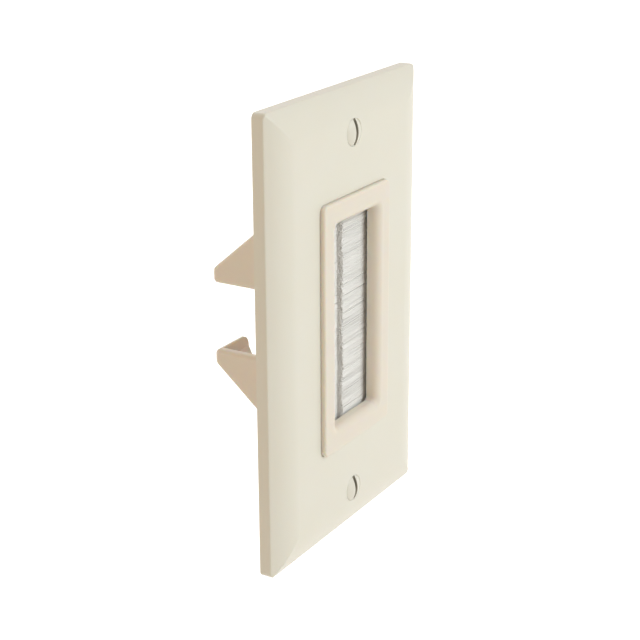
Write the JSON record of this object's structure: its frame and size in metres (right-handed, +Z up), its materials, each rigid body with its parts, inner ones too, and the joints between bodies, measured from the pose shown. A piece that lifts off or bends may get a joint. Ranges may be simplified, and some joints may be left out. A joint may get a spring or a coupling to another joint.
{
  "type": "brush cable grommet",
  "caption": "Single-gang wall plate with a framed brush window that lets cables pass through a wall box, with guide wings behind it.",
  "frame": {"origin": "centre of the wall plate's back, in the plane of the wall's surface", "axes": "+X to the right seen from the front, +Y back into the wall, +Z up"},
  "size_m": [0.073, 0.0332, 0.119],
  "materials": {
    "almond_plastic": "smooth light-almond moulding with a soft gloss",
    "channel_metal": "plain folded strip",
    "bristle_nylon": "natural nylon filaments",
    "wire_steel": "plain drawn wire",
    "screw_paint": "painted to match the plate"
  },
  "bodies": {
    "root": {"wall_plate": "almond_plastic", "insert_frame": "almond_plastic", "brush_channel_left": "channel_metal", "brush_channel_right": "channel_metal", "bristle_pack_left": "bristle_nylon", "bristle_pack_right": "bristle_nylon", "core_wire_left": "wire_steel", "core_wire_right": "wire_steel", "plate_screw_top": "screw_paint", "plate_screw_bottom": "screw_paint"}
  },
  "joints": []
}
